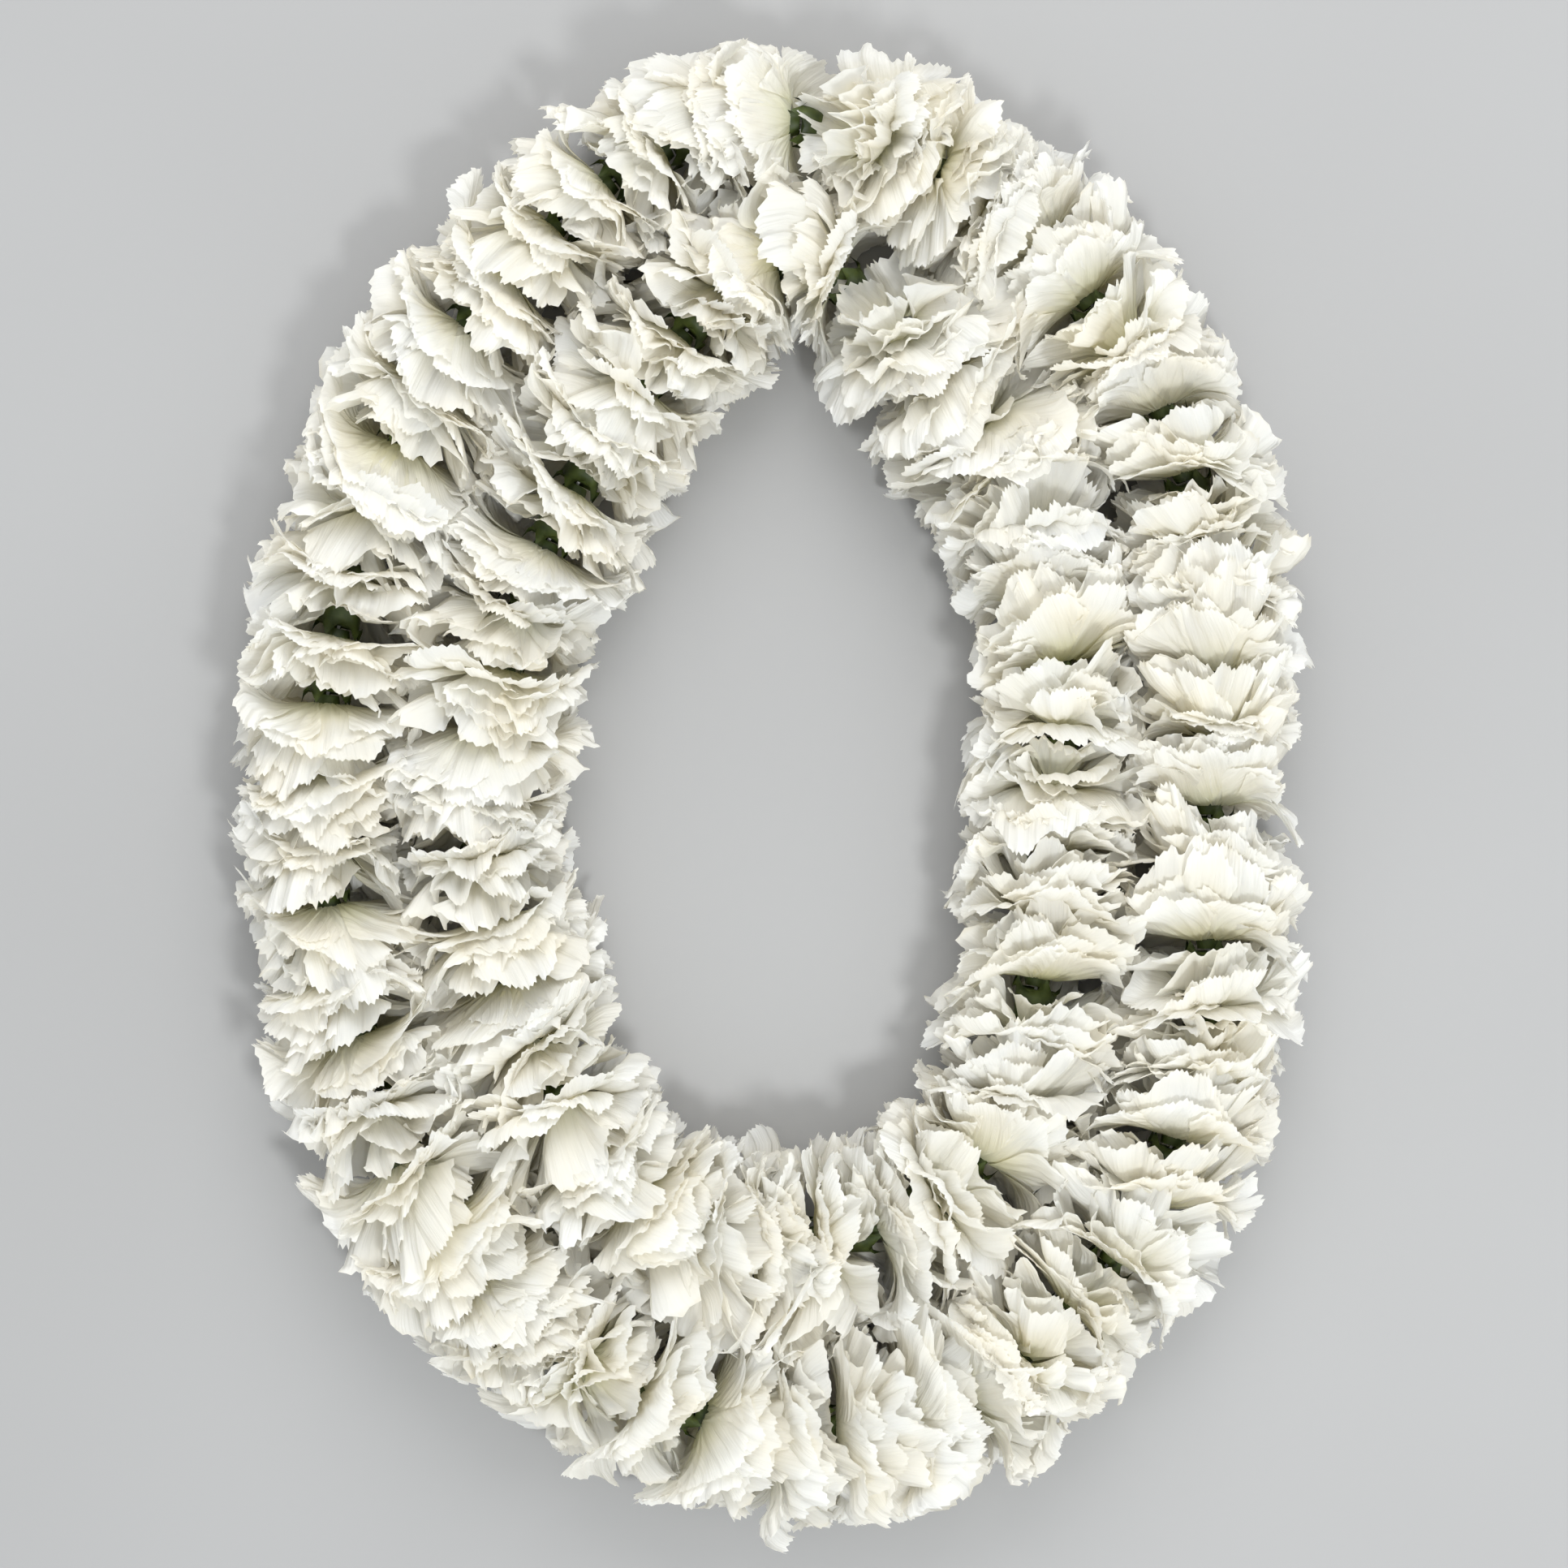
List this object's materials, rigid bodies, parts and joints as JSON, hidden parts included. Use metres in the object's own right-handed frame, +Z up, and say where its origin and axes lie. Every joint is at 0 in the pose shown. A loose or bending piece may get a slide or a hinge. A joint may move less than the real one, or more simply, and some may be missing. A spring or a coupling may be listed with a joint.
{
  "type": "carnation lei",
  "caption": "Double lei of white carnations: two rings of ruffled blooms threaded nose to tail on string through their green calyxes, laid flat as one long oval.",
  "frame": {"origin": "on the surface that the lei lies on, under the middle of its box", "axes": "+Y along the long axis of the oval, towards its narrow top; +Z up, away from the surface; +X to the right as seen from above"},
  "size_m": [0.3912, 0.5361, 0.0596],
  "materials": {
    "petal_white": "ivory white carnation petals, matt and slightly see-through, warmer at their roots",
    "calyx_green": "dark green waxy calyxes",
    "thread_white": "white cotton string"
  },
  "bodies": {
    "root": {"calyxes_inner_01": "calyx_green", "calyxes_inner_02": "calyx_green", "calyxes_inner_03": "calyx_green", "calyxes_inner_04": "calyx_green", "calyxes_inner_05": "calyx_green", "calyxes_inner_06": "calyx_green", "calyxes_inner_07": "calyx_green", "calyxes_inner_08": "calyx_green", "calyxes_inner_09": "calyx_green", "calyxes_inner_10": "calyx_green", "calyxes_inner_11": "calyx_green", "calyxes_inner_12": "calyx_green", "calyxes_inner_13": "calyx_green", "calyxes_outer_01": "calyx_green", "calyxes_outer_02": "calyx_green", "calyxes_outer_03": "calyx_green", "calyxes_outer_04": "calyx_green", "calyxes_outer_05": "calyx_green", "calyxes_outer_06": "calyx_green", "calyxes_outer_07": "calyx_green", "calyxes_outer_08": "calyx_green", "calyxes_outer_09": "calyx_green", "calyxes_outer_10": "calyx_green", "calyxes_outer_11": "calyx_green", "calyxes_outer_12": "calyx_green", "calyxes_outer_13": "calyx_green", "petals_inner_01": "petal_white", "petals_inner_02": "petal_white", "petals_inner_03": "petal_white", "petals_inner_04": "petal_white", "petals_inner_05": "petal_white", "petals_inner_06": "petal_white", "petals_inner_07": "petal_white", "petals_inner_08": "petal_white", "petals_inner_09": "petal_white", "petals_inner_10": "petal_white", "petals_inner_11": "petal_white", "petals_inner_12": "petal_white", "petals_inner_13": "petal_white", "petals_outer_01": "petal_white", "petals_outer_02": "petal_white", "petals_outer_03": "petal_white", "petals_outer_04": "petal_white", "petals_outer_05": "petal_white", "petals_outer_06": "petal_white", "petals_outer_07": "petal_white", "petals_outer_08": "petal_white", "petals_outer_09": "petal_white", "petals_outer_10": "petal_white", "petals_outer_11": "petal_white", "petals_outer_12": "petal_white", "petals_outer_13": "petal_white", "thread_inner": "thread_white", "thread_outer": "thread_white"}
  },
  "joints": []
}
